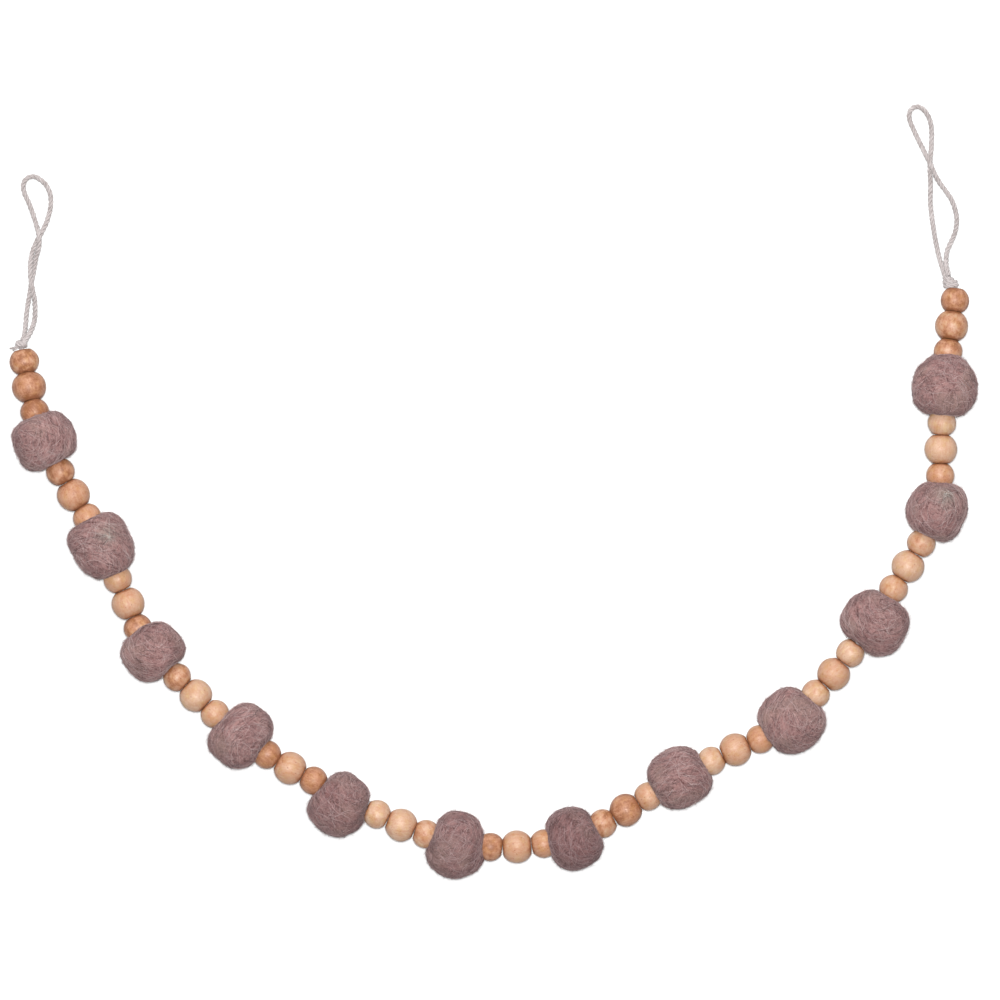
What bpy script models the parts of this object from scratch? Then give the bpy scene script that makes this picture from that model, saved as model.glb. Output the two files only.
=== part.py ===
"""A felt ball garland lying flat in a wide U, with a loop of its own cord at each end.

+X runs from the left arm of the U to its right arm, +Y towards the loops and +Z up.
The origin is on the floor, under the middle of the balls and beads.
"""
from bisect import bisect_left
from collections import namedtuple
from itertools import accumulate
import math

import bmesh
import bpy
from mathutils import Matrix, Vector
from mathutils.geometry import interpolate_bezier

for old_object in list(bpy.data.objects):
    bpy.data.objects.remove(old_object)

MM = 0.001
CLEARANCE = 0.3 * MM

# Wood beads, turned round and drilled, with a flat at each end of the hole
SMALL_WIDTH = 14.0 * MM
SMALL_LENGTH = 11.2 * MM
LARGE_WIDTH = 16.5 * MM
LARGE_LENGTH = 13.8 * MM
END_FLAT_WIDTH = 8.0 * MM
BORE_WIDTH = 3.4 * MM
BEAD_SIDES = 12
# Half profile of a bead, from its end to its middle, as shares of the half length
BEAD_PROFILE_STEPS = (1.0, 0.72, 0.22)
# Bare cord between two beads, at the nearest edge of their flats and at the hole
EDGE_GAP = 0.45 * MM
LEAST_SPACE = 0.7 * MM

# Felted wool balls, squeezed along the cord
BALL_SIDES = 16
BALL_HEIGHT_SHARE = 0.94
BALL_CORD_HEIGHT = 15.0 * MM
BALL_SWELL = 1.1
BALL_ROUNDNESS = 2.4
# Outer rings of a ball, from its end to its middle, as shares of the half length
BALL_RING_STEPS = (0.76, 0.24)
LUMP_DEPTH = 0.022
# How far the dimples stand off the beads in them, and how deep they take them
DIMPLE_MARGIN = 0.65 * MM
DIMPLE_DEEPEST = 3.2 * MM
DIMPLE_SHALLOWEST = 0.9 * MM
CREST_HEIGHT = 0.8 * MM
CREST_WIDTH_SHARE = 0.52

# Three-ply twisted cotton cord
CORD_WIDTH = 2.4 * MM
CORD_GROOVE_WIDTH = 1.72 * MM
CORD_LAY = 7.2 * MM
CORD_PLIES = 3
CORD_STEPS_A_TURN = 6

# Knots under the loops. The profile gives shares of the length and of the width,
# from the bead to the loop, and the shift is how far the knot sits beside the hole.
Knot = namedtuple("Knot", "width shift wraps slant profile")
LEFT_KNOT = Knot(6.2 * MM, 0.0, 2, 2.6,
                 ((0, 0.78), (0.22, 1.0), (0.6, 0.98), (0.86, 0.84), (1, 0.66)))
RIGHT_KNOT = Knot(8.0 * MM, -1.8 * MM, 3, 4.0,
                  ((0, 0.84), (0.16, 0.97), (0.44, 0.9), (0.74, 0.74), (1, 0.56)))
KNOT_SIDES = 12
KNOT_TOP_SPACE = 0.8 * MM
KNOT_RIDGE = 0.08
# Frayed cord end beside the left knot, from its root to its open tip
TAIL_ROOT = (-238.6, 117.8, 7.7)
TAIL_TIP = (-241.5, 117.6, 8.2)
TAIL_ROOT_WIDTH = 1.5 * MM
TAIL_TIP_WIDTH = 2.3 * MM
TAIL_SIDES = 6

# Heights of the cord in the beads between two balls and in those beyond the last ball
SMALL_CORD_HEIGHT = 14.0 * MM
LARGE_CORD_HEIGHT = 13.0 * MM
END_CORD_HEIGHTS = (13.0 * MM, 9.8 * MM, 7.8 * MM)

FeltBall = namedtuple("FeltBall", "x y along across lean lump")
FELT_BALLS = (
    FeltBall(-224.0, 70.5, 29.0, 32.5, 0, 0.4),
    FeltBall(-196.0, 19.0, 31.0, 33.0, -8, 1.9),
    FeltBall(-169.5, -34.5, 28.0, 33.5, 0, 3.3),
    FeltBall(-126.5, -76.0, 28.5, 34.5, -3, 5.2),
    FeltBall(-77.0, -110.5, 28.5, 33.5, 0, 0.9),
    FeltBall(-18.5, -131.0, 28.5, 33.5, -4, 2.7),
    FeltBall(41.0, -127.5, 28.0, 32.0, 0, 4.1),
    FeltBall(93.5, -97.5, 28.5, 33.5, 10, 6.0),
    FeltBall(149.5, -68.5, 30.0, 34.0, 10, 1.3),
    FeltBall(191.5, -20.5, 30.0, 34.5, 0, 3.8),
    FeltBall(222.0, 36.0, 28.0, 32.0, 0, 5.6),
    FeltBall(226.0, 98.5, 31.0, 33.5, 0, 2.2),
)

# Middles of each group's small, large and small bead, on the floor plan in millimetres
BeadGroup = namedtuple("BeadGroup", "first_x first_y large_x large_y last_x last_y")
BEAD_GROUPS = (
    BeadGroup(-234.5, 111.0, -232.0, 98.0, -229.5, 86.0),
    BeadGroup(-216.5, 56.0, -210.0, 44.0, -203.0, 33.5),
    BeadGroup(-187.5, 1.5, -182.0, -10.0, -178.0, -22.5),
    BeadGroup(-158.5, -46.5, -148.5, -56.0, -138.5, -66.0),
    BeadGroup(-112.5, -86.0, -101.5, -92.5, -89.0, -99.0),
    BeadGroup(-59.0, -115.0, -46.0, -121.0, -33.5, -125.5),
    BeadGroup(-1.0, -132.0, 12.0, -132.0, 24.5, -130.5),
    BeadGroup(55.5, -120.0, 66.5, -113.5, 77.5, -106.5),
    BeadGroup(110.0, -88.5, 121.0, -82.5, 133.5, -78.5),
    BeadGroup(161.5, -55.0, 170.5, -45.5, 179.0, -34.5),
    BeadGroup(200.0, -3.0, 207.5, 8.5, 214.5, 20.0),
    BeadGroup(224.0, 54.5, 223.5, 67.0, 224.5, 80.0),
    BeadGroup(227.5, 116.5, 229.5, 128.5, 231.0, 141.5),
)

# Each loop's route in millimetres, from its knot, round its top and back
LEFT_LOOP = (
    (-236.0, 122.2, 6.8),
    (-235.7, 124.2, 6.4),
    (-235.0, 127.0, 4.4),
    (-234.3, 130.0, 2.2),
    (-233.9, 133.5, 1.4),
    (-233.4, 137.5, 1.3),
    (-232.6, 142.5, 1.3),
    (-231.8, 146.5, 1.3),
    (-231.0, 150.5, 1.3),
    (-230.2, 154.5, 1.3),
    (-229.3, 159.0, 1.3),
    (-228.2, 163.5, 1.7),
    (-227.4, 167.5, 3.4),
    (-227.0, 171.5, 4.3),
    (-227.4, 175.5, 4.2),
    (-228.6, 179.8, 2.6),
    (-230.1, 184.5, 1.4),
    (-232.3, 190.5, 1.3),
    (-234.5, 195.5, 1.3),
    (-235.0, 199.5, 1.3),
    (-233.2, 202.6, 1.3),
    (-230.0, 203.5, 1.3),
    (-226.4, 201.9, 1.3),
    (-223.2, 198.6, 1.3),
    (-221.5, 194.5, 1.3),
    (-221.2, 190.0, 1.3),
    (-222.0, 185.2, 1.3),
    (-223.6, 180.2, 1.3),
    (-226.0, 175.3, 1.3),
    (-228.6, 170.6, 1.3),
    (-230.6, 166.0, 1.6),
    (-231.8, 161.0, 3.2),
    (-232.0, 156.0, 4.3),
    (-231.3, 151.0, 4.4),
    (-230.2, 146.0, 4.2),
    (-229.4, 141.0, 2.4),
    (-229.2, 136.0, 1.4),
    (-229.4, 131.5, 1.9),
    (-230.4, 127.6, 4.2),
    (-232.3, 124.3, 6.3),
    (-233.3, 122.0, 6.8),
)
RIGHT_LOOP = (
    (227.9, 153.9, 8.0),
    (227.4, 156.0, 7.6),
    (226.8, 159.0, 5.6),
    (226.7, 162.5, 3.1),
    (227.4, 166.8, 1.5),
    (229.4, 171.2, 1.3),
    (231.3, 176.0, 1.3),
    (232.0, 181.0, 1.3),
    (231.5, 186.0, 1.3),
    (229.6, 191.5, 1.3),
    (226.6, 196.2, 1.3),
    (223.6, 200.2, 1.5),
    (221.4, 203.8, 2.8),
    (219.8, 207.4, 4.2),
    (218.2, 211.2, 4.4),
    (216.1, 215.4, 3.8),
    (214.0, 219.6, 2.0),
    (211.9, 223.8, 1.3),
    (209.9, 228.2, 1.3),
    (208.5, 232.0, 1.3),
    (208.9, 235.6, 1.3),
    (211.6, 237.6, 1.3),
    (214.8, 236.7, 1.3),
    (217.2, 233.7, 1.3),
    (218.9, 230.0, 1.3),
    (219.5, 225.6, 1.3),
    (219.4, 220.6, 1.3),
    (219.0, 215.6, 1.3),
    (218.7, 210.6, 1.3),
    (218.6, 205.6, 1.3),
    (218.9, 200.4, 1.3),
    (218.9, 194.8, 1.3),
    (219.1, 189.0, 1.3),
    (220.1, 182.8, 1.3),
    (221.1, 176.8, 1.3),
    (222.1, 171.0, 1.3),
    (223.3, 165.4, 1.6),
    (224.5, 160.8, 3.2),
    (225.6, 157.2, 4.9),
    (226.5, 153.7, 5.6),
)

UP = Vector((0, 0, 1))


def finish_material(name, colour, roughness):
    """A plain matt or satin surface."""
    material = bpy.data.materials.new(name)
    material.use_nodes = True
    shader = material.node_tree.nodes["Principled BSDF"]
    shader.inputs["Base Color"].default_value = (*colour, 1.0)
    shader.inputs["Roughness"].default_value = roughness
    shader.inputs["Metallic"].default_value = 0.0
    return material


wool = finish_material("wool_felt", (0.33, 0.21, 0.20), 0.95)
pale_wood = finish_material("pale_wood", (0.60, 0.37, 0.22), 0.45)
warm_wood = finish_material("warm_wood", (0.53, 0.28, 0.15), 0.45)
cotton = finish_material("cotton_cord", (0.66, 0.58, 0.52), 0.90)


def place(name, shape):
    """Put a shape in the scene as an object of its own."""
    piece = bpy.data.objects.new(name, shape)
    bpy.context.collection.objects.link(piece)
    return piece


def finish_mesh(name, skin, material, sharp_angle):
    """A smooth-shaded mesh of a finished skin, whose faces look outwards."""
    bmesh.ops.recalc_face_normals(skin, faces=skin.faces)
    mesh = bpy.data.meshes.new(name)
    skin.to_mesh(mesh)
    skin.free()
    mesh.materials.append(material)
    mesh.shade_smooth()
    mesh.set_sharp_from_angle(angle=math.radians(sharp_angle))
    return mesh


def cross_frame(along):
    """The sideways and upward directions square to a direction."""
    side = along.cross(UP).normalized()
    return side, side.cross(along).normalized()


def side_angles(sides):
    """The angles of a round section's corners from straight down, a flat side lowest."""
    return [2 * math.pi * (step + 0.5) / sides for step in range(sides)]


def ring(centre, along, radius, sides):
    """Points of a round section square to a direction."""
    side, lift = cross_frame(along)
    return [
        centre + (side * math.sin(angle) - lift * math.cos(angle)) * radius
        for angle in side_angles(sides)
    ]


def loft(name, rings, material, drilled=False):
    """A closed skin over a row of rings, drilled from end to end or capped."""
    skin = bmesh.new()
    rows = [[skin.verts.new(point) for point in points] for points in rings]
    pairs = list(zip(rows, rows[1:]))
    if drilled:
        pairs.append((rows[-1], rows[0]))
    else:
        skin.faces.new(rows[0])
        skin.faces.new(rows[-1])
    for near, far in pairs:
        for step, corner in enumerate(near):
            after = (step + 1) % len(near)
            skin.faces.new((corner, near[after], far[after], far[step]))
    return finish_mesh(name, skin, material, sharp_angle=50)


class Route:
    """A smooth curve through given points, measured along its length."""

    def __init__(self, points, pieces=24):
        spans = [(after - before).length for before, after in zip(points, points[1:])]
        slopes = [(after - before) / span
                  for before, after, span in zip(points, points[1:], spans)]
        headings = [slopes[0]]
        for number in range(1, len(spans)):
            lean = spans[number] / (spans[number - 1] + spans[number])
            headings.append(slopes[number].lerp(slopes[number - 1], lean))
        headings.append(slopes[-1])
        self.points = [points[0]]
        for number, span in enumerate(spans):
            start, end = points[number], points[number + 1]
            leave = start + headings[number] * span / 3
            arrive = end - headings[number + 1] * span / 3
            self.points += interpolate_bezier(start, leave, arrive, end, pieces + 1)[1:]
        steps = zip(self.points, self.points[1:])
        self.marks = [0.0, *accumulate((after - before).length for before, after in steps)]
        self.length = self.marks[-1]
        self.pieces = pieces

    def mark(self, number):
        """How far along the route its given point of that number is."""
        return self.marks[number * self.pieces]

    def at(self, distance):
        """The point at a distance along the route."""
        last = min(max(bisect_left(self.marks, distance), 1), len(self.marks) - 1)
        share = (distance - self.marks[last - 1]) / (self.marks[last] - self.marks[last - 1])
        return self.points[last - 1].lerp(self.points[last], share)

    def heading(self, distance):
        """The direction of the route at a distance along it."""
        return (self.at(distance + MM) - self.at(distance - MM)).normalized()


def thread_route():
    """The line that the cord takes through the middle of every bead."""
    points = []
    middle_heights = (SMALL_CORD_HEIGHT, LARGE_CORD_HEIGHT, SMALL_CORD_HEIGHT)
    for number, group in enumerate(BEAD_GROUPS):
        heights = middle_heights
        if number == 0:
            heights = END_CORD_HEIGHTS[::-1]
        if number == len(BEAD_GROUPS) - 1:
            heights = END_CORD_HEIGHTS
        for across, up, height in zip(group[0::2], group[1::2], heights):
            points.append(Vector((across * MM, up * MM, height)))
    before = points[0].lerp(points[1], -1)
    after = points[-1].lerp(points[-2], -1)
    return Route([before, *points, after])


def group_joints(route, number):
    """The four places where the cord is bare beside the three beads of a group.

    Two beads that meet at an angle touch at one edge of their flats.
    """
    middle = route.mark(2 + 3 * number)
    pitch = (LARGE_LENGTH + SMALL_LENGTH) / 2
    joints = []
    for way in (-1, 1):
        bend = route.heading(middle).angle(route.heading(middle + way * pitch))
        space = max(EDGE_GAP + END_FLAT_WIDTH * math.tan(bend / 2), LEAST_SPACE)
        inner = (LARGE_LENGTH + space) / 2
        outer = inner + SMALL_LENGTH + space
        joints += [route.at(middle + way * distance) for distance in (inner, outer)]
    return [joints[1], joints[0], joints[2], joints[3]]


def bead_radius(width, length, from_middle):
    """A bead's radius at a distance from its middle along the hole."""
    flat_share = END_FLAT_WIDTH / width
    swell = length / 2 / math.sqrt(1 - flat_share ** 2)
    return width / 2 * math.sqrt(1 - (from_middle / swell) ** 2)


def turned_bead(name, width, length, material):
    """A drilled bead about the X axis: a profile with its bore, spun once round."""
    half = length / 2
    steps = [share * half for share in BEAD_PROFILE_STEPS]
    stations = [-step for step in steps] + steps[::-1]
    profile = [(station, bead_radius(width, length, station)) for station in stations]
    profile = [(-half, BORE_WIDTH / 2), *profile, (half, BORE_WIDTH / 2)]
    spun = bmesh.new()
    start = Matrix.Rotation(math.pi / BEAD_SIDES, 3, "X")
    corners = [spun.verts.new(start @ Vector((x, 0, -radius))) for x, radius in profile]
    edges = [spun.edges.new(pair) for pair in zip(corners, corners[1:] + corners[:1])]
    bmesh.ops.spin(spun, geom=corners + edges, cent=(0, 0, 0), axis=(1, 0, 0),
                   angle=2 * math.pi, steps=BEAD_SIDES, use_duplicate=False)
    bmesh.ops.remove_doubles(spun, verts=spun.verts, dist=0.01 * MM)
    return finish_mesh(name, spun, material, sharp_angle=40)


def thread_bead(name, mesh, start, end):
    """Slide a bead on the straight piece of cord between two joints."""
    along = (end - start).normalized()
    side, lift = cross_frame(along)
    turned = Matrix((along, -side, lift)).transposed().to_4x4()
    bead = place(name, mesh)
    bead.matrix_world = Matrix.Translation((start + end) / 2) @ turned


def felt_ball(name, ball, entry, leave, bead_before, bead_after):
    """One ball: a lumpy squeezed round with a dimple for the bead at each end.

    entry and leave are where the cord goes in and out. bead_before and bead_after are
    the directions of the beads' holes there, the way that the cord runs. The ball rests
    on a small flat under its two middle rings.
    """
    middle = Vector((ball.x * MM, ball.y * MM, BALL_CORD_HEIGHT))
    hub = (leave - entry).normalized()
    level = Matrix.Rotation(math.radians(ball.lean), 3, "Z") @ Vector((hub.x, hub.y, 0))
    level.normalize()
    half = ball.along * MM / 2
    radius = ball.across * MM / 2

    def dimple(joint, bead_along, away):
        """Rings of the bore and the dimple, from the cord out to the crest round the bead."""
        reach = half - abs((joint - middle).dot(level)) - CREST_HEIGHT
        depth = min(max(reach, DIMPLE_SHALLOWEST), DIMPLE_DEEPEST)
        lip = bead_radius(SMALL_WIDTH, SMALL_LENGTH, SMALL_LENGTH / 2 - depth)
        sections = (
            (0.0, BORE_WIDTH / 2),
            (0.0, END_FLAT_WIDTH / 2 + DIMPLE_MARGIN),
            (depth, lip + DIMPLE_MARGIN),
            (depth + CREST_HEIGHT, radius * CREST_WIDTH_SHARE),
        )
        return [
            ring(joint + bead_along * away * out, bead_along, wide, BALL_SIDES)
            for out, wide in sections
        ]

    side, lift = cross_frame(level)
    outer = []
    shares = [-share for share in BALL_RING_STEPS] + list(BALL_RING_STEPS[::-1])
    for number, share in enumerate(shares):
        swell = (1 - (abs(share) / BALL_SWELL) ** BALL_ROUNDNESS) ** (1 / BALL_ROUNDNESS)
        centre = middle + level * share * half
        points = []
        for step, angle in enumerate(side_angles(BALL_SIDES)):
            lump = math.sin(2 * angle + ball.lump) + math.sin(3 * angle + 2 * ball.lump + share)
            reach = radius * swell * (1 + LUMP_DEPTH * lump)
            point = centre + side * math.sin(angle) * reach
            point -= lift * math.cos(angle) * reach * BALL_HEIGHT_SHARE
            on_floor = step in (0, BALL_SIDES - 1) and number in (1, 2)
            point.z = 0.0 if on_floor else max(point.z, CLEARANCE)
            points.append(point)
        outer.append(points)
    rings = dimple(entry, bead_before, -1) + outer + dimple(leave, bead_after, 1)[::-1]
    place(name, loft(name, rings, wool, drilled=True))


def twisted_cord(name, points):
    """A loose cord of three plies, whose ridges wind round it along a route.

    Returns the place between its two ends.
    """
    route = Route([Vector(point) * MM for point in points])
    count = round(route.length / CORD_LAY * CORD_STEPS_A_TURN)
    middles = [route.at(route.length * step / count) for step in range(count + 1)]
    corners = 2 * CORD_PLIES
    lift = UP
    rings = []
    for step, middle in enumerate(middles):
        along = (middles[min(step + 1, count)] - middles[max(step - 1, 0)]).normalized()
        lift = (lift - along * lift.dot(along)).normalized()
        side = along.cross(lift)
        points = []
        for corner in range(corners):
            width = CORD_GROOVE_WIDTH if corner % 2 else CORD_WIDTH
            angle = 2 * math.pi * (corner / corners + step / CORD_STEPS_A_TURN)
            outward = lift * math.cos(angle) + side * math.sin(angle)
            points.append(middle + outward * width / 2)
        rings.append(points)
    place(name, loft(name, rings, cotton))
    return middles[0].lerp(middles[-1], 0.5)


def knot(name, shape, base, outward, top):
    """A pulled-tight knot from the end bead's hole to the two ends of a loop."""
    start = base + outward * CLEARANCE + cross_frame(outward)[0] * shape.shift
    along = (top - start).normalized()
    end = top - along * KNOT_TOP_SPACE
    rings = []
    for share, width_share in shape.profile:
        centre = start.lerp(end, share)
        side, lift = cross_frame(outward.lerp(along, share))
        points = []
        for angle in side_angles(KNOT_SIDES):
            wrap = math.cos(shape.wraps * angle + shape.slant * share)
            reach = shape.width / 2 * width_share * (1 + KNOT_RIDGE * wrap)
            points.append(centre + (side * math.sin(angle) - lift * math.cos(angle)) * reach)
        rings.append(points)
    place(name, loft(name, rings, cotton))


route = thread_route()
joints = [group_joints(route, number) for number in range(len(BEAD_GROUPS))]

# The wood beads, in groups of small, large and small
small_mesh = turned_bead("small_bead", SMALL_WIDTH, SMALL_LENGTH, warm_wood)
large_mesh = turned_bead("large_bead", LARGE_WIDTH, LARGE_LENGTH, pale_wood)
for number, (first, second, third, fourth) in enumerate(joints):
    thread_bead(f"small_bead_{2 * number + 1:02d}", small_mesh, first, second)
    thread_bead(f"large_bead_{number + 1:02d}", large_mesh, second, third)
    thread_bead(f"small_bead_{2 * number + 2:02d}", small_mesh, third, fourth)

# A felt ball between each two groups
for number, ball in enumerate(FELT_BALLS):
    before = joints[number]
    after = joints[number + 1]
    felt_ball(f"felt_ball_{number + 1:02d}", ball, before[3], after[0],
              (before[3] - before[2]).normalized(), (after[1] - after[0]).normalized())

# The cord inside them, bent only between them, from one end bead's outer flat to the other's
first_bead = (joints[0][1] - joints[0][0]).normalized()
last_bead = (joints[-1][3] - joints[-1][2]).normalized()
left_base = (joints[0][0] + joints[0][1] - first_bead * SMALL_LENGTH) / 2
right_base = (joints[-1][2] + joints[-1][3] + last_bead * SMALL_LENGTH) / 2
bends = [joint for group in joints for joint in group]
string = bpy.data.curves.new("string", "CURVE")
string.dimensions = "3D"
string.bevel_depth = CORD_WIDTH / 2
string.bevel_resolution = 2
string.use_fill_caps = True
string.materials.append(cotton)
spline = string.splines.new("POLY")
spline.points.add(len(bends) - 1)
for spot, point in zip(spline.points, [left_base, *bends[1:-1], right_base]):
    spot.co = (*point, 1)
place("string", string)

# The loops at its ends, and the knot under each
left_top = twisted_cord("loop_left", LEFT_LOOP)
right_top = twisted_cord("loop_right", RIGHT_LOOP)
knot("knot_left", LEFT_KNOT, left_base, -first_bead, left_top)
knot("knot_right", RIGHT_KNOT, right_base, last_bead, right_top)

# The frayed end beside the left knot
root = Vector(TAIL_ROOT) * MM
tip = Vector(TAIL_TIP) * MM
outward = (tip - root).normalized()
tail_rings = [
    ring(root, outward, TAIL_ROOT_WIDTH / 2, TAIL_SIDES),
    ring(tip, outward, TAIL_TIP_WIDTH / 2, TAIL_SIDES),
]
place("tail_left", loft("tail_left", tail_rings, cotton))

bpy.context.view_layer.update()
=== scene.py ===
"""A felt ball garland laid in a wide U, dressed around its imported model."""

import math

import bpy
import numpy as np
from mathutils import Matrix, Vector
from mathutils.geometry import interpolate_bezier


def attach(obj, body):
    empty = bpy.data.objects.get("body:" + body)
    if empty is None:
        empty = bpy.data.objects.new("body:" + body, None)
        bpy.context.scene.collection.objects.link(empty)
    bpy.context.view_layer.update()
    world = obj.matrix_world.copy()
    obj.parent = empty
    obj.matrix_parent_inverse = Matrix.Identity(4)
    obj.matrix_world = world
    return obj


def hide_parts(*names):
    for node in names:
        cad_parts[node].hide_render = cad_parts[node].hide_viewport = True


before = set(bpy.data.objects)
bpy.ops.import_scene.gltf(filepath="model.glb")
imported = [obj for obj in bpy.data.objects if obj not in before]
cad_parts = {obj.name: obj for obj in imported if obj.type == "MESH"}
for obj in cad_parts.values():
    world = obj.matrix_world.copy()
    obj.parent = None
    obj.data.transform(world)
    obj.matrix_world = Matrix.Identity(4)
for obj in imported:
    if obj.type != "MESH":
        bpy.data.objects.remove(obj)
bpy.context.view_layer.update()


# The garland lies on a white table, under a far lamp straight overhead and the softer light of
# a window behind its loops. It is seen from straight above through a very long lens.
MM = 0.001
CAMERA_HEIGHT = 20.0
VIEW_MIDDLE = (3.5 * MM, 41.65 * MM)
VIEW_WIDTH = 500 * MM
SENSOR_WIDTH = 36
BALL_MIDDLE = 15 * MM
TABLE_WIDTH = 6
TABLE_DROP = 0.2 * MM
bpy.ops.object.select_all(action="DESELECT")
bpy.ops.object.camera_add(location=(*VIEW_MIDDLE, CAMERA_HEIGHT), rotation=(0, 0, 0))
camera = bpy.context.object
camera.name = "overhead_camera"
camera.data.sensor_width = SENSOR_WIDTH
camera.data.lens = SENSOR_WIDTH * (CAMERA_HEIGHT - BALL_MIDDLE) / VIEW_WIDTH
camera.data.clip_end = 2 * CAMERA_HEIGHT
bpy.context.scene.camera = camera

bpy.ops.mesh.primitive_plane_add(size=TABLE_WIDTH, location=(0, 0, -TABLE_DROP))
table = bpy.context.object
table.name = "pale_table"
paper = bpy.data.materials.new("pale_paper")
paper.use_nodes = True
shader = paper.node_tree.nodes["Principled BSDF"]
shader.inputs["Base Color"].default_value = (0.60, 0.60, 0.60, 1)
shader.inputs["Roughness"].default_value = 0.9
shader.inputs["Specular IOR Level"].default_value = 0.1
table.data.materials.append(paper)

# Each light's name, place in metres, width in metres and power in watts
LIGHTS = (
    ("overhead_lamp", (0.0, 0.65, 25.0), 2.2, 10000),
    ("window_light", (-0.6, 3.8, 3.2), 2.4, 150),
)
for name, place, width, power in LIGHTS:
    bpy.ops.object.light_add(type="AREA", location=place)
    light = bpy.context.object
    light.name = name
    light.data.shape = "DISK"
    light.data.size = width
    light.data.energy = power
    light.rotation_euler = Vector(place).to_track_quat("Z", "Y").to_euler()
    light.visible_camera = False

world = bpy.data.worlds.new("pale_room")
world.use_nodes = True
air = world.node_tree.nodes["Background"]
air.inputs["Color"].default_value = (1.0, 0.99, 0.98, 1)
air.inputs["Strength"].default_value = 0.10
bpy.context.scene.world = world
bpy.context.scene.view_settings.view_transform = "Standard"


# The cord is three-ply cotton, twisted right-handed. Its two ends make the loops that the
# garland is hung by: each runs out of its knot, crosses over itself and comes back.
CORD_WIDTH = 2.4 * MM
CORD_LAY = 7.2 * MM
# Each ply's distance from the cord's middle and its width, as shares of the cord's width
PLY_SHARE = 0.26
PLY_WIDTH_SHARE = 0.50
# How unevenly each ply keeps its distance and its width, as shares of them
PLY_WANDER = 0.05
PLY_UNEVENNESS = 0.04
# The loops' middle lines in millimetres, from the knot, round the eye and back to the knot
LEFT_LOOP = (
    (-235.3, 121.6, 6.8), (-234.7, 123.2, 6.3), (-234.1, 126.0, 4.4), (-233.8, 129.6, 2.2),
    (-233.6, 133.5, 1.5), (-233.1, 137.5, 1.4), (-232.2, 142.5, 1.4), (-230.9, 150.5, 1.4),
    (-229.3, 159.0, 1.4), (-228.5, 163.5, 1.7), (-227.4, 167.5, 3.4), (-227.0, 171.5, 4.3),
    (-227.4, 175.5, 4.2), (-228.6, 179.8, 2.6), (-230.1, 184.5, 1.4), (-232.3, 190.5, 1.3),
    (-234.5, 195.5, 1.3), (-235.0, 199.3, 1.3), (-233.4, 202.4, 1.3), (-230.0, 203.5, 1.3),
    (-226.4, 201.9, 1.3), (-223.2, 198.6, 1.3), (-221.5, 194.5, 1.3), (-221.2, 190.0, 1.3),
    (-222.0, 185.2, 1.3), (-223.6, 180.2, 1.3), (-226.0, 175.3, 1.4), (-228.5, 170.6, 1.4),
    (-230.4, 166.0, 1.6), (-231.3, 161.0, 3.0), (-231.5, 156.0, 4.2), (-231.1, 151.0, 4.4),
    (-230.2, 146.0, 4.2), (-229.3, 141.0, 2.4), (-229.1, 136.0, 1.5), (-229.4, 131.5, 1.9),
    (-230.6, 127.6, 4.2), (-232.2, 124.1, 6.2), (-233.6, 122.0, 7.2), (-234.8, 120.6, 7.2),
)
RIGHT_LOOP = (
    (227.9, 153.9, 8.0), (227.4, 156.0, 7.6), (226.8, 159.0, 5.6), (226.7, 162.5, 3.1),
    (227.4, 166.8, 1.5), (229.4, 171.2, 1.3), (231.3, 176.0, 1.3), (232.0, 181.0, 1.3),
    (231.5, 186.0, 1.3), (229.6, 191.5, 1.3), (226.6, 196.2, 1.3), (223.6, 200.2, 1.5),
    (221.4, 203.8, 2.8), (219.8, 207.4, 4.2), (218.2, 211.2, 4.4), (216.1, 215.4, 3.8),
    (214.0, 219.6, 2.0), (211.9, 223.8, 1.3), (209.8, 228.4, 1.3), (208.5, 231.6, 1.3),
    (208.2, 234.2, 1.3), (209.0, 236.7, 1.3), (210.9, 238.2, 1.3), (213.4, 238.2, 1.3),
    (215.7, 236.7, 1.3), (217.6, 234.0, 1.3), (219.0, 230.2, 1.3), (219.5, 225.6, 1.3),
    (219.4, 220.6, 1.3), (218.7, 210.6, 1.3), (218.6, 205.6, 1.3), (218.9, 200.4, 1.3),
    (218.9, 189.0, 1.3), (219.6, 182.8, 1.3), (220.5, 176.8, 1.3), (221.5, 171.0, 1.3),
    (222.7, 165.4, 1.6), (223.9, 160.8, 3.2), (225.1, 157.2, 4.9), (226.3, 153.5, 5.8),
)


def smooth_route(points, spacing):
    """Places at an even spacing on the smooth curve through given points."""
    spans = [(after - before).length for before, after in zip(points, points[1:])]
    slopes = [(after - before) / span for before, after, span in zip(points, points[1:], spans)]
    headings = [slopes[0]]
    for number in range(1, len(spans)):
        lean = spans[number] / (spans[number - 1] + spans[number])
        headings.append(slopes[number].lerp(slopes[number - 1], lean))
    headings.append(slopes[-1])
    fine = [points[0]]
    for number, span in enumerate(spans):
        start, end = points[number], points[number + 1]
        leave = start + headings[number] * span / 3
        arrive = end - headings[number + 1] * span / 3
        fine += interpolate_bezier(start, leave, arrive, end, 25)[1:]
    fine = np.array(fine)
    marks = np.append(0, np.cumsum(np.linalg.norm(np.diff(fine, axis=0), axis=1)))
    steps = np.linspace(0, marks[-1], round(marks[-1] / spacing) + 1)
    return np.stack([np.interp(steps, marks, fine[:, axis]) for axis in range(3)], axis=1)


def unit(vectors):
    """The directions of a row of vectors."""
    return vectors / np.linalg.norm(vectors, axis=-1, keepdims=True)


def unevenness(places, size, seed):
    """A soft random swell and dip over places, about 1 high, with hollows of one size."""
    number_of_waves = 28
    draw = np.random.default_rng(seed)
    waves = unit(draw.normal(size=(number_of_waves, 3))) * (2 * math.pi / size)
    waves *= draw.uniform(0.6, 1.4, size=(number_of_waves, 1))
    shifts = draw.uniform(0, 2 * math.pi, size=number_of_waves)
    return np.sin(places @ waves.T + shifts).sum(axis=1) / math.sqrt(number_of_waves / 2)


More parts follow.
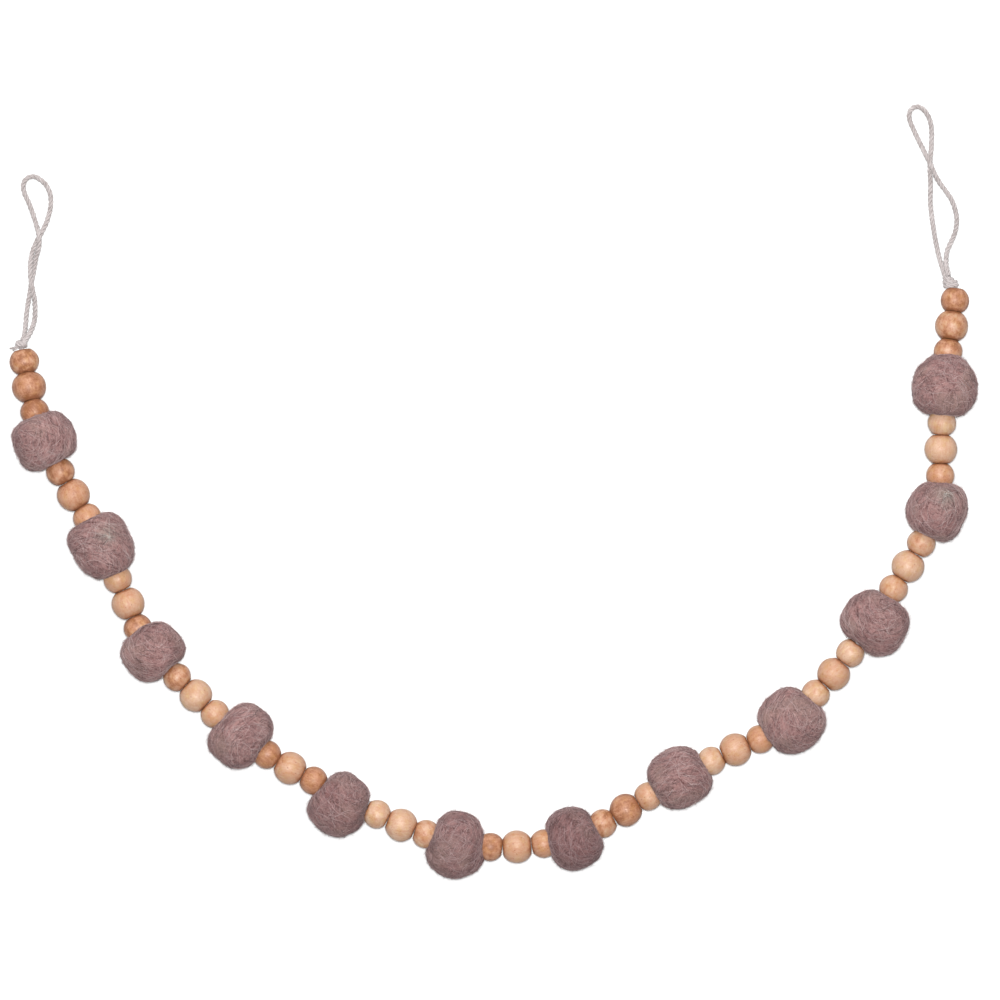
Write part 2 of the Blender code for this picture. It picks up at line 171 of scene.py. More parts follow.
def place_mesh(name, corners, faces, finish):
    """A new piece of the given corners and faces."""
    corners[:, 2] = np.maximum(corners[:, 2], 0)
    mesh = bpy.data.meshes.new(name)
    mesh.from_pydata(corners.tolist(), [], faces)
    mesh.materials.append(finish)
    piece = bpy.data.objects.new(name, mesh)
    bpy.context.collection.objects.link(piece)
    return piece


def tube_faces(rows, length, sides):
    """The faces of a row of closed tubes, each of some rings with the same number of sides."""
    first = np.arange(rows)[:, None, None] * length * sides
    ring = np.arange(length - 1)[None, :, None] * sides
    step = np.arange(sides)[None, None, :]
    after = (step + 1) % sides
    quads = np.stack([first + ring + step, first + ring + after,
                      first + ring + sides + after, first + ring + sides + step], axis=-1)
    caps = np.concatenate([first[:, 0] + np.arange(sides)[None, ::-1],
                           first[:, 0] + (length - 1) * sides + np.arange(sides)[None, :]])
    return quads.reshape(-1, 4).tolist() + caps.tolist()


def twist_cord(name, middles, finish, sides=8, swell=1.0):
    """A three-ply cord wound right-handed about a line of middles."""
    count = len(middles)
    along = unit(np.gradient(middles, axis=0))
    lifts = [np.array((0.0, 0.0, 1.0))]
    for way in along:
        lift = lifts[-1] - way * (lifts[-1] @ way)
        lifts.append(lift / np.linalg.norm(lift))
    lift = np.array(lifts[1:])
    side = np.cross(along, lift)
    marks = np.append(0, np.cumsum(np.linalg.norm(np.diff(middles, axis=0), axis=1)))
    corners = []
    for ply in range(3):
        turn = (ply / 3 + marks / CORD_LAY) * 2 * math.pi
        outward = lift * np.cos(turn)[:, None] + side * np.sin(turn)[:, None]
        wander = 1 + PLY_WANDER * unevenness(middles, 5 * MM, 40 + ply)
        centre = middles + outward * (CORD_WIDTH * swell * PLY_SHARE * wander)[:, None]
        heading = unit(np.gradient(centre, axis=0))
        out = unit(outward - heading * (outward * heading).sum(axis=1, keepdims=True))
        across = np.cross(heading, out)
        thick = CORD_WIDTH * swell * PLY_WIDTH_SHARE / 2
        thick = thick * (1 + PLY_UNEVENNESS * unevenness(middles, 3 * MM, 50 + ply))
        angle = 2 * math.pi * np.arange(sides) / sides
        section = (out[:, None] * np.cos(angle)[None, :, None]
                   + across[:, None] * np.sin(angle)[None, :, None])
        corners.append(centre[:, None] + section * thick[:, None, None])
    corners = np.array(corners).reshape(-1, 3)
    piece = place_mesh(name, corners, tube_faces(3, count, sides), finish)
    # The yarn's own lie: once round each ply, and along it in cord widths
    lie = piece.data.uv_layers.new(name="yarn_lie")
    corner_of = np.zeros(len(piece.data.loops), dtype=np.int32)
    piece.data.loops.foreach_get("vertex_index", corner_of)
    round_ply = (corner_of % sides) / sides
    first_of_face = np.repeat([face.loop_start for face in piece.data.polygons],
                              [face.loop_total for face in piece.data.polygons])
    round_ply = np.where(round_ply < round_ply[first_of_face] - 0.5, round_ply + 1, round_ply)
    down_ply = marks[(corner_of // sides) % count] / CORD_WIDTH
    lie.data.foreach_set("uv", np.stack([round_ply, down_ply], axis=1).ravel())
    piece.data.shade_smooth()
    return piece


def new_finish(name):
    """A material with its shader, and a function that adds a node with its inputs."""
    finish = bpy.data.materials.new(name)
    finish.use_nodes = True
    tree = finish.node_tree

    def add(kind, settings=None, **inputs):
        node = tree.nodes.new(kind)
        for key, value in (settings or {}).items():
            setattr(node, key, value)
        for key, value in inputs.items():
            # A socket is asked for by its name, or by its number after an underscore
            if key[1:].isdigit():
                socket = node.inputs[int(key[1:])]
            else:
                socket = node.inputs[key.replace("_", " ")]
            if isinstance(value, bpy.types.NodeSocket):
                tree.links.new(value, socket)
            else:
                socket.default_value = value
        return node

    return finish, tree.nodes["Principled BSDF"], add


def colour_steps(node, steps):
    """Set a colour ramp from pairs of a place and a colour."""
    ramp = node.color_ramp
    while len(ramp.elements) < len(steps):
        ramp.elements.new(0.5)
    for element, (place, colour) in zip(ramp.elements, steps):
        element.position = place
        element.color = (*colour, 1)


cotton, shader, add = new_finish("twisted_cotton")
yarn_lie = add("ShaderNodeUVMap", {"uv_map": "yarn_lie"}).outputs["UV"]
stretched = add("ShaderNodeMapping", Vector=yarn_lie, Rotation=(0, 0, math.radians(9)),
                Scale=(16, 1.1, 1)).outputs["Vector"]
streak = add("ShaderNodeTexNoise", Vector=stretched, Scale=1.0, Detail=3.0, Roughness=0.6)
dust = add("ShaderNodeTexNoise", Vector=add("ShaderNodeTexCoord").outputs["Object"],
           Scale=260.0, Detail=2.0)
streak_share = add("ShaderNodeMath", {"operation": "MULTIPLY"}, _0=streak.outputs["Fac"], _1=0.75)
blend = add("ShaderNodeMath", {"operation": "MULTIPLY_ADD"}, _0=dust.outputs["Fac"], _1=0.25,
            _2=streak_share.outputs[0])
cotton_colour = add("ShaderNodeValToRGB", Fac=blend.outputs[0])
colour_steps(cotton_colour, [(0.30, (0.180, 0.150, 0.141)), (0.50, (0.330, 0.294, 0.288)),
                             (0.70, (0.485, 0.446, 0.441))])
shader.inputs["Roughness"].default_value = 0.92
shader.inputs["Specular IOR Level"].default_value = 0.2
shader.inputs["Sheen Weight"].default_value = 0.25
cotton.node_tree.links.new(cotton_colour.outputs["Color"], shader.inputs["Base Color"])
cotton_bump = add("ShaderNodeBump", Strength=0.6, Distance=0.12 * MM, Height=streak.outputs["Fac"])
cotton.node_tree.links.new(cotton_bump.outputs["Normal"], shader.inputs["Normal"])

LOOP_STEP = 0.5 * MM
# The cord lies loose and full where nothing presses it
LOOSE_SWELL = 1.1
left_middles = smooth_route([Vector(point) * MM for point in LEFT_LOOP], LOOP_STEP)
right_middles = smooth_route([Vector(point) * MM for point in RIGHT_LOOP], LOOP_STEP)
left_loop = twist_cord("cord_loop_left", left_middles, cotton, swell=LOOSE_SWELL)
right_loop = twist_cord("cord_loop_right", right_middles, cotton, swell=LOOSE_SWELL)
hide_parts("loop_left")
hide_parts("loop_right")


# The same cord runs on through every bead and ball. It shows only in the slits between them,
# where the flats of two beads meet at a slight angle.
BEAD_NODES = []
for number in range(13):
    BEAD_NODES += [f"small_bead_{2 * number + 1:02d}", f"large_bead_{number + 1:02d}",
                   f"small_bead_{2 * number + 2:02d}"]
LENGTHS = {"small": 11.2 * MM, "large": 13.8 * MM}
INNER_STEP = 1.8 * MM
INNER_SWELL = 0.92


def corners_of(mesh):
    """The places of a mesh's corners, one row each."""
    corners = np.zeros(len(mesh.vertices) * 3)
    mesh.vertices.foreach_get("co", corners)
    return corners.reshape(-1, 3)


def hole_of(node):
    """A drilled bead's middle, and the direction of its hole."""
    corners = np.unique(np.round(corners_of(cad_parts[node].data), 6), axis=0)
    middle = (corners.min(axis=0) + corners.max(axis=0)) / 2
    return middle, np.linalg.eigh(np.cov((corners - middle).T))[1][:, 2]


bead_middles = []
bead_ways = []
for node in BEAD_NODES:
    middle, way = hole_of(node)
    bead_middles.append(middle)
    bead_ways.append(way)
bead_middles = np.array(bead_middles)
onward = np.gradient(bead_middles, axis=0)
bead_ways = np.array(bead_ways) * np.sign((np.array(bead_ways) * onward).sum(axis=1))[:, None]
bead_halves = np.array([LENGTHS[node[:5]] / 2 for node in BEAD_NODES])[:, None]
bead_starts = bead_middles - bead_ways * bead_halves
bead_ends = bead_middles + bead_ways * bead_halves
through = [Vector(point) for pair in zip(bead_starts, bead_ends) for point in pair]
inner_cord = twist_cord("cord_through_beads", smooth_route(through, INNER_STEP), cotton, sides=6,
                        swell=INNER_SWELL)
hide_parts("string")


# The knots: the cord's two ends are tied tight under each loop, in a few slanting wraps
# that sit against the end bead and keep it from sliding off.
KNOT_STEP = 0.4 * MM
PLACES_A_WRAP = 10
# Where each knot starts and ends, its turns, the angle of its first turn, how far its wraps lean
# to one side, and its widths from the bead to the loop. Lengths are in millimetres.
LEFT_KNOT = ((-236.2, 118.9, 7.0), (-235.6, 120.5, 7.0), 1.8, 2.6, 0.3, (3.2, 3.3, 2.8, 1.8))
RIGHT_KNOT = ((229.5, 148.7, 6.8), (227.1, 153.4, 7.0), 2.8, 0.4, -0.8, (5.9, 5.5, 4.4, 2.8, 1.4))


def wraps(base, top, turns, phase, lean, widths):
    """A line that winds up from the base of a knot to its top, leaning to one side."""
    base = Vector(base) * MM
    top = Vector(top) * MM
    axis = (top - base).normalized()
    side = axis.cross(Vector((0, 0, 1))).normalized()
    lift = side.cross(axis).normalized()
    points = []
    count = PLACES_A_WRAP * turns + 1
    for step in range(int(count)):
        share = step / (count - 1)
        angle = 2 * math.pi * turns * share + phase
        reach = np.interp(share, np.linspace(0, 1, len(widths)), widths) / 2 * MM
        slant = lean * MM * math.cos(angle)
        centre = base.lerp(top, share) + axis * slant
        points.append(centre + (side * math.cos(angle) + lift * math.sin(angle)) * reach)
    return smooth_route(points, KNOT_STEP)


def knot_core(name, points):
    """The bit of cord inside a knot, from in the end bead to where the loop leaves."""
    return twist_cord(name, smooth_route(points, LOOP_STEP), cotton, sides=6, swell=LOOSE_SWELL)


left_face = Vector(bead_starts[0])
left_way = Vector(-bead_ways[0])
left_top = (Vector(left_middles[0]) + Vector(left_middles[-1])) / 2
left_knot = twist_cord("cord_knot_left", wraps(*LEFT_KNOT), cotton, sides=9, swell=1.3)
left_core = knot_core("cord_knot_core_left", [left_face - left_way * 2 * MM,
                                              left_face + left_way * 2 * MM, left_top])
right_face = Vector(bead_ends[-1])
right_way = Vector(bead_ways[-1])
right_top = (Vector(right_middles[0]) + Vector(right_middles[-1])) / 2
right_side = right_way.cross(Vector((0, 0, 1))).normalized()
right_knot = twist_cord("cord_knot_right", wraps(*RIGHT_KNOT), cotton, sides=7)
right_core = knot_core("cord_knot_core_right", [right_face - right_way * 2 * MM,
                                                right_face + right_way * 2 * MM - right_side * MM,
                                                right_top])
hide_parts("knot_left")
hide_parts("knot_right")


# The cut end of the cord sticks out beside the left knot. It has opened into two little
# prongs of loose cotton fibres.
TAIL_HAIRS = 36
# Where the hairs start and where each prong ends, in millimetres
TAIL_ROOT = (-236.9, 118.3, 7.6)
TAIL_TIPS = ((-241.7, 117.6, 8.0), (-240.2, 116.3, 8.2))
# Width of each hair in millimetres, from its root to its tip
TAIL_HAIR_WIDTHS = (0.42, 0.46, 0.42, 0.36, 0.28, 0.16)
# Height of a hair's section as a share of its width
HAIR_FLATNESS = 0.6


def tag_corners(mesh, name, values):
    """Give each corner of a mesh the number, or vector, that its finish reads by this name."""
    kind, key = ("FLOAT", "value") if values.ndim == 1 else ("FLOAT_VECTOR", "vector")
    tag = mesh.attributes.new(name, kind, "POINT")
    tag.data.foreach_set(key, values.astype(np.float32).ravel())


def strands(name, lines, outs, widths, shades, finish):
    """Fine three-sided hairs, flattened against what they lie on, each with one shade."""
    rows, length, _ = lines.shape
    heading = unit(np.gradient(lines, axis=1))
    across = unit(np.cross(heading, outs))
    lift = np.cross(heading, across) * HAIR_FLATNESS
    angle = 2 * math.pi * np.arange(3) / 3
    section = (across[:, :, None] * np.cos(angle)[None, None, :, None]
               + lift[:, :, None] * np.sin(angle)[None, None, :, None])
    corners = lines[:, :, None] + section * widths[:, :, None, None] / 2
    piece = place_mesh(name, corners.reshape(-1, 3), tube_faces(rows, length, 3), finish)
    tag_corners(piece.data, "strand", np.repeat(shades, length * 3))
    piece.data.shade_smooth()
    return piece


draw = np.random.default_rng(7)
lines = []
for hair in range(TAIL_HAIRS):
    root = np.array(TAIL_ROOT) + draw.normal(scale=0.20, size=3)
    # Two hairs in three go to the longer prong
    tip = np.array(TAIL_TIPS[hair % 3 // 2]) + draw.normal(scale=0.15, size=3)
    share = np.linspace(0, 1, len(TAIL_HAIR_WIDTHS))[:, None]
    bow = np.sin(share * math.pi) * draw.normal(scale=0.15, size=3)
    lines.append((root + (tip - root) * share + bow) * MM)
hair_widths = np.tile(np.array(TAIL_HAIR_WIDTHS) * MM, (TAIL_HAIRS, 1))
tail = strands("cord_tail_left", np.array(lines), np.array((0.31, 0.52, 0.79)), hair_widths,
               np.ones(TAIL_HAIRS), cotton)
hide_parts("tail_left")

for piece in (left_loop, right_loop, inner_cord, left_knot, left_core, right_knot, right_core, tail):
    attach(piece, "root")


# The wood beads are turned from pale hardwood, drilled, given a flat at each end of the hole
# and waxed. They come in two sizes, and no two have the same tone or grain.
SMALL_WIDTH = 14.3 * MM
LARGE_WIDTH = 16.5 * MM
FLAT_WIDTH = 8.0 * MM
HOLE_WIDTH = 3.4 * MM
BEAD_SIDES = 40
BEAD_RINGS = 20
# Added to each end of a bead, so that neighbours touch where the solids keep a little apart
TOUCH = 0.2 * MM
# How deep the wood is worn and dented out of round
DENT = 0.06 * MM
# Depth of tone of each group's first, large and last bead, from 0, blond, to 4, amber
BEAD_TONES = ((3, 3, 4), (3, 2, 2), (1, 1, 3), (2, 0, 1), (3, 1, 3), (0, 0, 1), (3, 1, 2),
              (2, 3, 1), (0, 1, 2), (0, 1, 0), (1, 0, 1), (2, 0, 0), (3, 2, 3))
# The first two beads are turned a little wider than the rest
WIDER_BEADS = {"small_bead_01": 1.04, "large_bead_01": 1.04, "small_bead_02": 1.02}


def turn_bead(name, width, length):
    """A turned, flatted and drilled bead about the Z axis."""
    half = length / 2 + TOUCH
    swell = half / math.sqrt(1 - (FLAT_WIDTH / width) ** 2)
    bpy.ops.object.select_all(action="DESELECT")
    bpy.ops.mesh.primitive_uv_sphere_add(segments=BEAD_SIDES, ring_count=BEAD_RINGS, radius=1)
    bead = bpy.context.object
    bead.name = name
    bead.scale = (width / 2, width / 2, swell)
    bpy.ops.object.transform_apply(location=False, rotation=False, scale=True)
    bpy.ops.object.mode_set(mode="EDIT")
    for way in (1, -1):
        bpy.ops.mesh.select_all(action="SELECT")
        bpy.ops.mesh.bisect(plane_co=(0, 0, way * half), plane_no=(0, 0, way), use_fill=True,
                            clear_outer=True)
    bpy.ops.mesh.select_all(action="DESELECT")
    bpy.ops.object.mode_set(mode="OBJECT")
    for face in bead.data.polygons:
        face.select = abs(face.center.z) > half * 0.9999
    bpy.ops.object.mode_set(mode="EDIT")
    bpy.ops.mesh.inset(thickness=(FLAT_WIDTH - HOLE_WIDTH) / 2)
    bpy.ops.mesh.bridge_edge_loops()
    bpy.ops.object.mode_set(mode="OBJECT")
    rims = bead.modifiers.new("worn_rims", "BEVEL")
    rims.limit_method = "ANGLE"
    rims.angle_limit = math.radians(25)
    rims.width = 0.35 * MM
    rims.segments = 2
    bpy.ops.object.modifier_apply(modifier=rims.name)
    return bead


wood, shader, add = new_finish("waxed_wood")
grain = add("ShaderNodeAttribute", {"attribute_name": "grain"}).outputs["Vector"]
tone = add("ShaderNodeAttribute", {"attribute_name": "tone"}).outputs["Fac"]
figure = add("ShaderNodeAttribute", {"attribute_name": "figure"}).outputs["Fac"]
end = add("ShaderNodeAttribute", {"attribute_name": "end"}).outputs["Fac"]
long_grain = add("ShaderNodeMapping", Vector=grain, Scale=(1, 1, 0.12)).outputs["Vector"]
fine_lines = add("ShaderNodeTexNoise", Vector=long_grain, Scale=0.9, Detail=3.0, Roughness=0.6)
blotch = add("ShaderNodeTexNoise", Vector=grain, Scale=0.24, Detail=2.0, Roughness=0.6)
freckle = add("ShaderNodeTexNoise", Vector=grain, Scale=1.8, Detail=2.0, Roughness=0.65)
mixed = add("ShaderNodeMath", {"operation": "MULTIPLY_ADD"}, _0=fine_lines.outputs["Fac"], _1=0.45,
            _2=0.135)
blotched = add("ShaderNodeMath", {"operation": "SUBTRACT"}, _0=blotch.outputs["Fac"], _1=0.5)
mixed = add("ShaderNodeMath", {"operation": "MULTIPLY_ADD"}, _0=blotched.outputs[0], _1=figure,
            _2=mixed.outputs[0])
mixed = add("ShaderNodeMath", {"operation": "MULTIPLY_ADD"}, _0=freckle.outputs["Fac"], _1=0.44,
            _2=mixed.outputs[0])
# Painted shade: the wood darkens towards each bead's flats and their rims, where the beads meet
mixed = add("ShaderNodeMath", {"operation": "MULTIPLY_ADD"}, _0=end, _1=0.22, _2=mixed.outputs[0])
depth = add("ShaderNodeMath", {"operation": "MULTIPLY_ADD"}, _0=tone, _1=0.38, _2=mixed.outputs[0])
wood_colour = add("ShaderNodeValToRGB", Fac=depth.outputs[0])
colour_steps(wood_colour, [(0.34, (0.492, 0.346, 0.247)), (0.56, (0.412, 0.254, 0.171)),
                           (0.80, (0.350, 0.168, 0.096)), (1.0, (0.215, 0.084, 0.040))])
pore_grain = add("ShaderNodeMapping", Vector=grain, Scale=(1, 1, 0.6)).outputs["Vector"]
pore = add("ShaderNodeTexVoronoi", Vector=pore_grain, Scale=0.62)
pore_depth = add("ShaderNodeMapRange", Value=pore.outputs["Distance"], From_Min=0.07, From_Max=0.16,
                 To_Min=1.0, To_Max=0.0)
some_pores = add("ShaderNodeMath", {"operation": "GREATER_THAN"}, _0=pore.outputs["Color"], _1=0.5)
pits = add("ShaderNodeMath", {"operation": "MULTIPLY"}, _0=pore_depth.outputs["Result"],
           _1=some_pores.outputs[0])
pitted = add("ShaderNodeMix", {"data_type": "RGBA", "blend_type": "MULTIPLY"},
             _0=pits.outputs[0], _6=wood_colour.outputs["Color"], _7=(0.40, 0.26, 0.20, 1))
stain = add("ShaderNodeTexNoise", Vector=grain, Scale=0.30, Detail=2.0)
stain_depth = add("ShaderNodeMapRange", Value=stain.outputs["Fac"], From_Min=0.46, From_Max=0.66,
                  To_Min=0.0, To_Max=1.0)
stained = add("ShaderNodeMix", {"data_type": "RGBA", "blend_type": "MULTIPLY"},
              _0=stain_depth.outputs["Result"], _6=pitted.outputs[2], _7=(0.96, 0.95, 0.78, 1))
wood.node_tree.links.new(stained.outputs[2], shader.inputs["Base Color"])
gloss = add("ShaderNodeMapRange", Value=freckle.outputs["Fac"], From_Min=0.3, From_Max=0.75,
            To_Min=0.42, To_Max=0.62)
wood.node_tree.links.new(gloss.outputs["Result"], shader.inputs["Roughness"])
wood_bump = add("ShaderNodeBump", Strength=0.25, Distance=0.10 * MM, Height=freckle.outputs["Fac"])
wood.node_tree.links.new(wood_bump.outputs["Normal"], shader.inputs["Normal"])
shader.inputs["Specular IOR Level"].default_value = 0.32

turned = {"small": turn_bead("turned_small_bead", SMALL_WIDTH, LENGTHS["small"]),
          "large": turn_bead("turned_large_bead", LARGE_WIDTH, LENGTHS["large"])}
# How strongly a bead's grain is blotched; the large ones come from calmer wood
FAINT_FIGURE = (0.1, 0.6)
STRONG_FIGURE = (0.2, 1.1)
# The two beads under the right knot are blotched the most
BLOTCHED_BEADS = {"small_bead_25": 1.0, "large_bead_13": 1.1}
draw = np.random.default_rng(21)
for number, node in enumerate(BEAD_NODES):
    mesh = turned[node[:5]].data.copy()
    mesh.name = "wood_" + node
    corners = corners_of(mesh)
    # Grain coordinates in millimetres, at a lean and a start of the bead's own
    tipped = Matrix.Rotation(draw.uniform(0, 0.5), 3, "X")
    lean = np.array(tipped @ Matrix.Rotation(draw.uniform(0, 6.3), 3, "Z"))
    local = (corners / MM) @ lean.T + draw.uniform(-500, 500, size=3)
    tag_corners(mesh, "grain", local)
    bead_tone = BEAD_TONES[number // 3][number % 3] / 4
    tag_corners(mesh, "tone", np.full(len(corners), bead_tone))
    # Painted shade darkens each bead towards its flats, where it meets its neighbours, and most of
    # all at their rims
    nearness = np.abs(corners[:, 2]) / bead_halves[number]
    nearness = np.clip(nearness * 4 - 3, 0, 1) + np.clip(nearness * 12 - 11, 0, 1)
    tag_corners(mesh, "end", nearness)
    strength = draw.uniform(*(FAINT_FIGURE if node[:5] == "large" else STRONG_FIGURE))
    strength = BLOTCHED_BEADS.get(node, strength)
    tag_corners(mesh, "figure", np.full(len(corners), strength))
    out = unit(corners)
    corners = corners + out * (DENT * unevenness(local, 9, number))[:, None]
    corners[:, :2] *= WIDER_BEADS.get(node, 1.0)
    way = Vector(bead_ways[number])
    turn = way.to_track_quat("Z", "Y").to_matrix() @ Matrix.Rotation(draw.uniform(0, 6.3), 3, "Z")
    corners = corners @ np.array(turn).T + bead_middles[number]
    corners[:, 2] = np.maximum(corners[:, 2], 0)
    mesh.vertices.foreach_set("co", corners.ravel())
    mesh.materials.clear()
    mesh.materials.append(wood)
    bead = bpy.data.objects.new("wood_" + node, mesh)
    bpy.context.collection.objects.link(bead)
    mesh.shade_smooth()
    mesh.set_sharp_from_angle(angle=math.radians(50))
    mesh.update()
    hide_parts(node)
    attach(bead, "root")
for pattern in turned.values():
    bpy.data.objects.remove(pattern)


# The felt balls are rolled from mauve wool in soapy water until the fibres lock. The cord pulls
# the beads into them, so each is squeezed, dimpled at both ends and a little out of round.
BALL_HEIGHT = 30.8 * MM
# Between a bead and the felt of its seat, and how softly the felt rises out of the seat
SEAT_GAP = 0.12 * MM
SEAT_SOFTNESS = 0.45 * MM
# How far the felt's ground lies under the tips of its nap
NAP = 0.25 * MM
PRESS_SPREAD = 1 - math.cos(math.radians(30))
# Depth and size of the felt's hollows, from the widest to the finest
HOLLOWS = ((0.15 * MM, 11 * MM), (0.07 * MM, 5 * MM), (0.03 * MM, 2 * MM))
# Each ball's middle, its length along the cord and its width across it, in millimetres, how it
# leans, in degrees, how square its outline is, 2 being round, how deep its dye is, and then three
# places where the felt is pressed in or stands out: the way to each from above, in degrees, and
# how far, in millimetres
FELT_BALLS = (
    (-224.6, 70.9, 28.1, 30.4, -1, 2.9, 0, ((302, -1.3), (18, 1.4), (301, -1.3))),
    (-195.5, 18.6, 33.3, 31.5, 1, 2.8, 0, ((248, -1.5), (346, -0.8), (118, -1.8))),
    (-170.4, -33.7, 27.7, 30.8, 6, 2.7, 0, ((97, -1.8), (317, -1.8), (351, 1.1))),
    (-125.6, -76.0, 26.4, 33.2, -4, 2.7, 0, ((325, -1.8), (193, 1.2), (294, 1.6))),
    (-76.8, -110.3, 27.7, 32.4, -12, 2.7, 1, ((352, -1.6), (314, 1.8), (136, -1.8))),
    (-18.5, -130.7, 28.0, 34.2, 0, 2.2, 1, ((200, 1.5), (326, 1.8), (159, -1.8))),
    (40.3, -127.7, 28.5, 31.2, 7, 2.4, 2, ((30, -1.8), (184, -1.8), (126, 0.9))),
    (92.6, -97.2, 31.9, 30.5, 0, 2.3, 0, ((206, -1.8), (24, -1.6), (354, 1.8))),
    (148.8, -68.2, 31.0, 31.6, -5, 2.5, 0, ((8, 1.6), (51, -1.2), (305, 1.4))),
    (191.3, -19.4, 29.8, 33.8, 2, 2.3, 0, ((227, -1.7), (261, 1.7), (192, 1.3))),
    (222.2, 35.7, 29.2, 28.4, -5, 2.7, 0, ((241, -1.8), (160, 1.6), (57, 1.8))),
    (226.0, 98.9, 33.3, 33.6, 1, 2.5, 0, ((131, -1.7), (37, -1.8), (266, -1.8))),
)
# Locks of greyer wool caught in two of the balls: each one's place and width, in millimetres
GREY_LOCKS = ((-192.9, 24.4, 5.0), (226.8, 42.7, 5.0))
# The kinds of fibre that lie on the felt, in locks of three: how many locks, how many places along
# a fibre, how far it turns about the ball, in radians, how high it arches and how wide it is, in
# millimetres, and the mean and the spread of its shade, from 0, dark, to 1, pale
LOCK = 3
LAID_FIBRES = (
    ("wisps", 160, 8, (0.35, 1.0), (0.04, 0.25), (0.12, 0.22), (0.80, 0.18)),
    ("short_fibres", 200, 5, (0.18, 0.5), (0.03, 0.18), (0.14, 0.26), (0.43, 0.34)),
)
# How deep in the felt both ends of such a fibre are, in millimetres
END_DEPTH = 0.02
# The flyaway fuzz, hair by hair: how far each turns, how high its tip stands, its width and shade
FUZZ_HAIRS = 560
FUZZ_PLACES = 4
FUZZ_SWEEPS = (0.08, 0.3)
FUZZ_RISES = (0.4, 1.6)
FUZZ_WIDTH = 0.14
FUZZ_SHADE = 0.70

felt, shader, add = new_finish("mauve_felt")
place = add("ShaderNodeTexCoord").outputs["Object"]
strand = add("ShaderNodeAttribute", {"attribute_name": "strand"}).outputs["Fac"]
dye = add("ShaderNodeAttribute", {"attribute_name": "dye"}).outputs["Fac"]
warp = add("ShaderNodeTexNoise", Vector=place, Scale=120.0, Detail=1.0)
warped = add("ShaderNodeMix", {"data_type": "VECTOR"}, _0=0.005, _4=place,
             _5=warp.outputs["Color"]).outputs[1]
laid = add("ShaderNodeAttribute", {"attribute_name": "laid"}).outputs["Vector"]
laid_turn = add("ShaderNodeAttribute", {"attribute_name": "laid_turn"}).outputs["Fac"]
wound = add("ShaderNodeTexNoise", {"noise_dimensions": "4D"}, Vector=laid, W=laid_turn, Scale=1.5,
            Detail=1.0, Roughness=0.5)
fibre_lines = add("ShaderNodeMapRange", Value=wound.outputs["Fac"], From_Min=0.52, From_Max=0.70,
                  To_Min=0.0, To_Max=1.0).outputs["Result"]
# Fine lines laid in several more directions, each given by its turn in degrees
LAID_TURNS = ((0, 0, 0), (90, 0, 20), (0, 90, 40), (50, 20, 0), (-45, 30, 60))
for number, turn in enumerate(LAID_TURNS):
    laid_way = add("ShaderNodeMapping", Vector=warped, Location=(number, 0, 0),
                   Rotation=[math.radians(angle) for angle in turn], Scale=(1, 1, 0.10))
    streak = add("ShaderNodeTexNoise", Vector=laid_way.outputs["Vector"], Scale=1350.0, Detail=1.0,
                 Roughness=0.5)
    line = add("ShaderNodeMapRange", Value=streak.outputs["Fac"], From_Min=0.54, From_Max=0.72,
               To_Min=0.0, To_Max=1.0)
    fibre_lines = add("ShaderNodeMath", {"operation": "MAXIMUM"}, _0=fibre_lines,
                      _1=line.outputs["Result"]).outputs[0]
mottle = add("ShaderNodeTexNoise", {"noise_dimensions": "4D"}, Vector=laid, W=laid_turn, Scale=0.55,
             Detail=4.0, Roughness=0.66)
drift = add("ShaderNodeTexNoise", Vector=place, Scale=62.0, Detail=2.0)
wool_base = add("ShaderNodeValToRGB", Fac=mottle.outputs["Fac"])
colour_steps(wool_base, [(0.39, (0.064, 0.026, 0.026)), (0.50, (0.131, 0.061, 0.059)),
                         (0.61, (0.221, 0.117, 0.110))])
grey = add("ShaderNodeMapRange", Value=drift.outputs["Fac"], From_Min=0.52, From_Max=0.68,
           To_Min=0.0, To_Max=0.6)
greyed = add("ShaderNodeMix", {"data_type": "RGBA"}, _0=grey.outputs["Result"],
             _6=wool_base.outputs["Color"], _7=(0.164, 0.116, 0.094, 1))
line_share = add("ShaderNodeMath", {"operation": "MULTIPLY"}, _0=fibre_lines, _1=0.72)
lined = add("ShaderNodeMix", {"data_type": "RGBA"}, _0=line_share.outputs[0],
            _6=greyed.outputs[2], _7=(0.296, 0.186, 0.177, 1))
fibre_colour = add("ShaderNodeValToRGB", Fac=strand)
patch = add("ShaderNodeTexNoise", Vector=place, Scale=95.0, Detail=1.0)
patch_depth = add("ShaderNodeMapRange", Value=patch.outputs["Fac"], From_Min=0.50, From_Max=0.70,
                  To_Min=0.0, To_Max=0.55)
colour_steps(fibre_colour, [(0.08, (0.052, 0.026, 0.026)), (0.35, (0.140, 0.079, 0.076)),
                            (0.65, (0.280, 0.179, 0.171)), (1.0, (0.449, 0.341, 0.333))])
is_fibre = add("ShaderNodeMath", {"operation": "GREATER_THAN"}, _0=strand, _1=0.02)
wool = add("ShaderNodeMix", {"data_type": "RGBA"}, _0=is_fibre.outputs[0],
           _6=lined.outputs[2], _7=fibre_colour.outputs["Color"])
grey_lock = add("ShaderNodeAttribute", {"attribute_name": "grey_lock"}).outputs["Fac"]
locked = add("ShaderNodeMix", {"data_type": "RGBA", "blend_type": "MULTIPLY"}, _0=grey_lock,
             _6=wool.outputs[2], _7=(0.97, 1.26, 1.20, 1))
dye_share = add("ShaderNodeMath", {"operation": "MULTIPLY_ADD"}, _0=dye, _1=0.5,
                _2=patch_depth.outputs["Result"])
dyed = add("ShaderNodeMix", {"data_type": "RGBA", "blend_type": "MULTIPLY"}, _0=dye_share.outputs[0],
           _6=locked.outputs[2], _7=(0.72, 0.68, 0.70, 1))
felt.node_tree.links.new(dyed.outputs[2], shader.inputs["Base Color"])
felt_bump = add("ShaderNodeBump", Strength=0.6, Distance=0.2 * MM, Height=fibre_lines)
